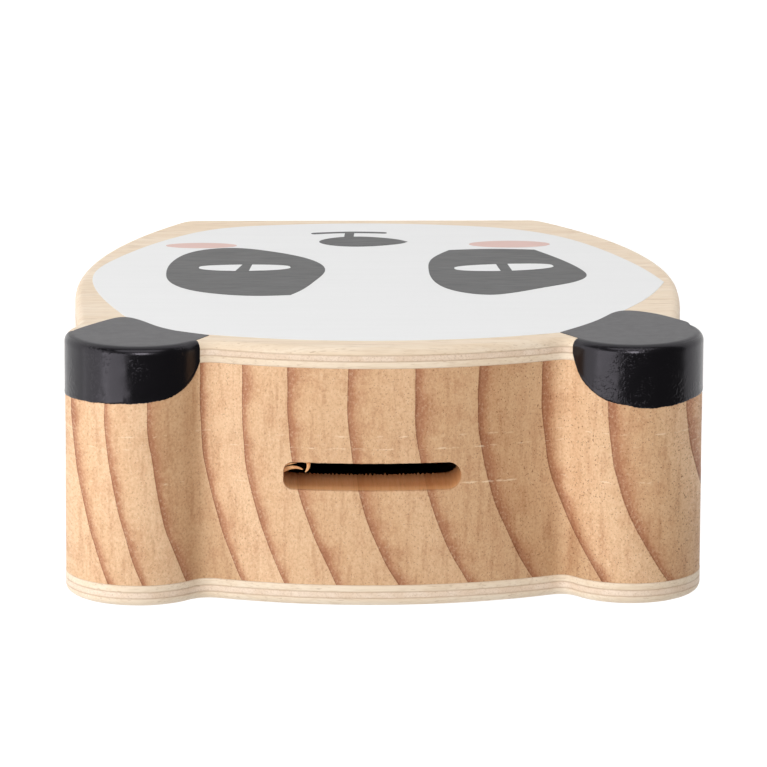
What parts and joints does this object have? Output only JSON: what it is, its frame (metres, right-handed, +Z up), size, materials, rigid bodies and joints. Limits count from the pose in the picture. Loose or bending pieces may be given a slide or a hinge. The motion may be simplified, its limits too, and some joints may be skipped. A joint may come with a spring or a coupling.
{
  "type": "wooden money box",
  "caption": "Free-standing wooden money box in the shape of a panda's head: routed pine block between plywood panels, coin slot in the crown, soft stopper in the back.",
  "frame": {"origin": "middle of the box's footprint, on the surface it stands on", "axes": "+Z up, through the crown and its coin slot; -Y the way the face looks; +X towards the animal's left ear"},
  "size_m": [0.1418, 0.0588, 0.1375],
  "materials": {
    "face_veneer": "pale veneer, sanded, unvarnished",
    "core_veneer": "pale cross veneer, sanded edge",
    "pine": "sanded pine end grain, unvarnished",
    "stopper_rubber": "matte soft rubber",
    "white_print": "matte white printing ink on veneer",
    "black_print": "matte black printing ink on veneer",
    "blush_print": "matte pale pink printing ink on veneer",
    "ear_paint": "thick glossy black paint"
  },
  "bodies": {
    "box": {"front_face_veneer": "face_veneer", "front_core_veneer": "core_veneer", "front_inner_veneer": "face_veneer", "pine_block": "pine", "back_inner_veneer": "face_veneer", "back_core_veneer": "core_veneer", "back_outer_veneer": "face_veneer"},
    "stopper": {"stopper": "stopper_rubber"}
  },
  "joints": [
    {"name": "stopper_pull", "type": "slide", "parent": "box", "child": "stopper", "axis": [0, 1, 0], "range_m": [0, 0.012]}
  ]
}
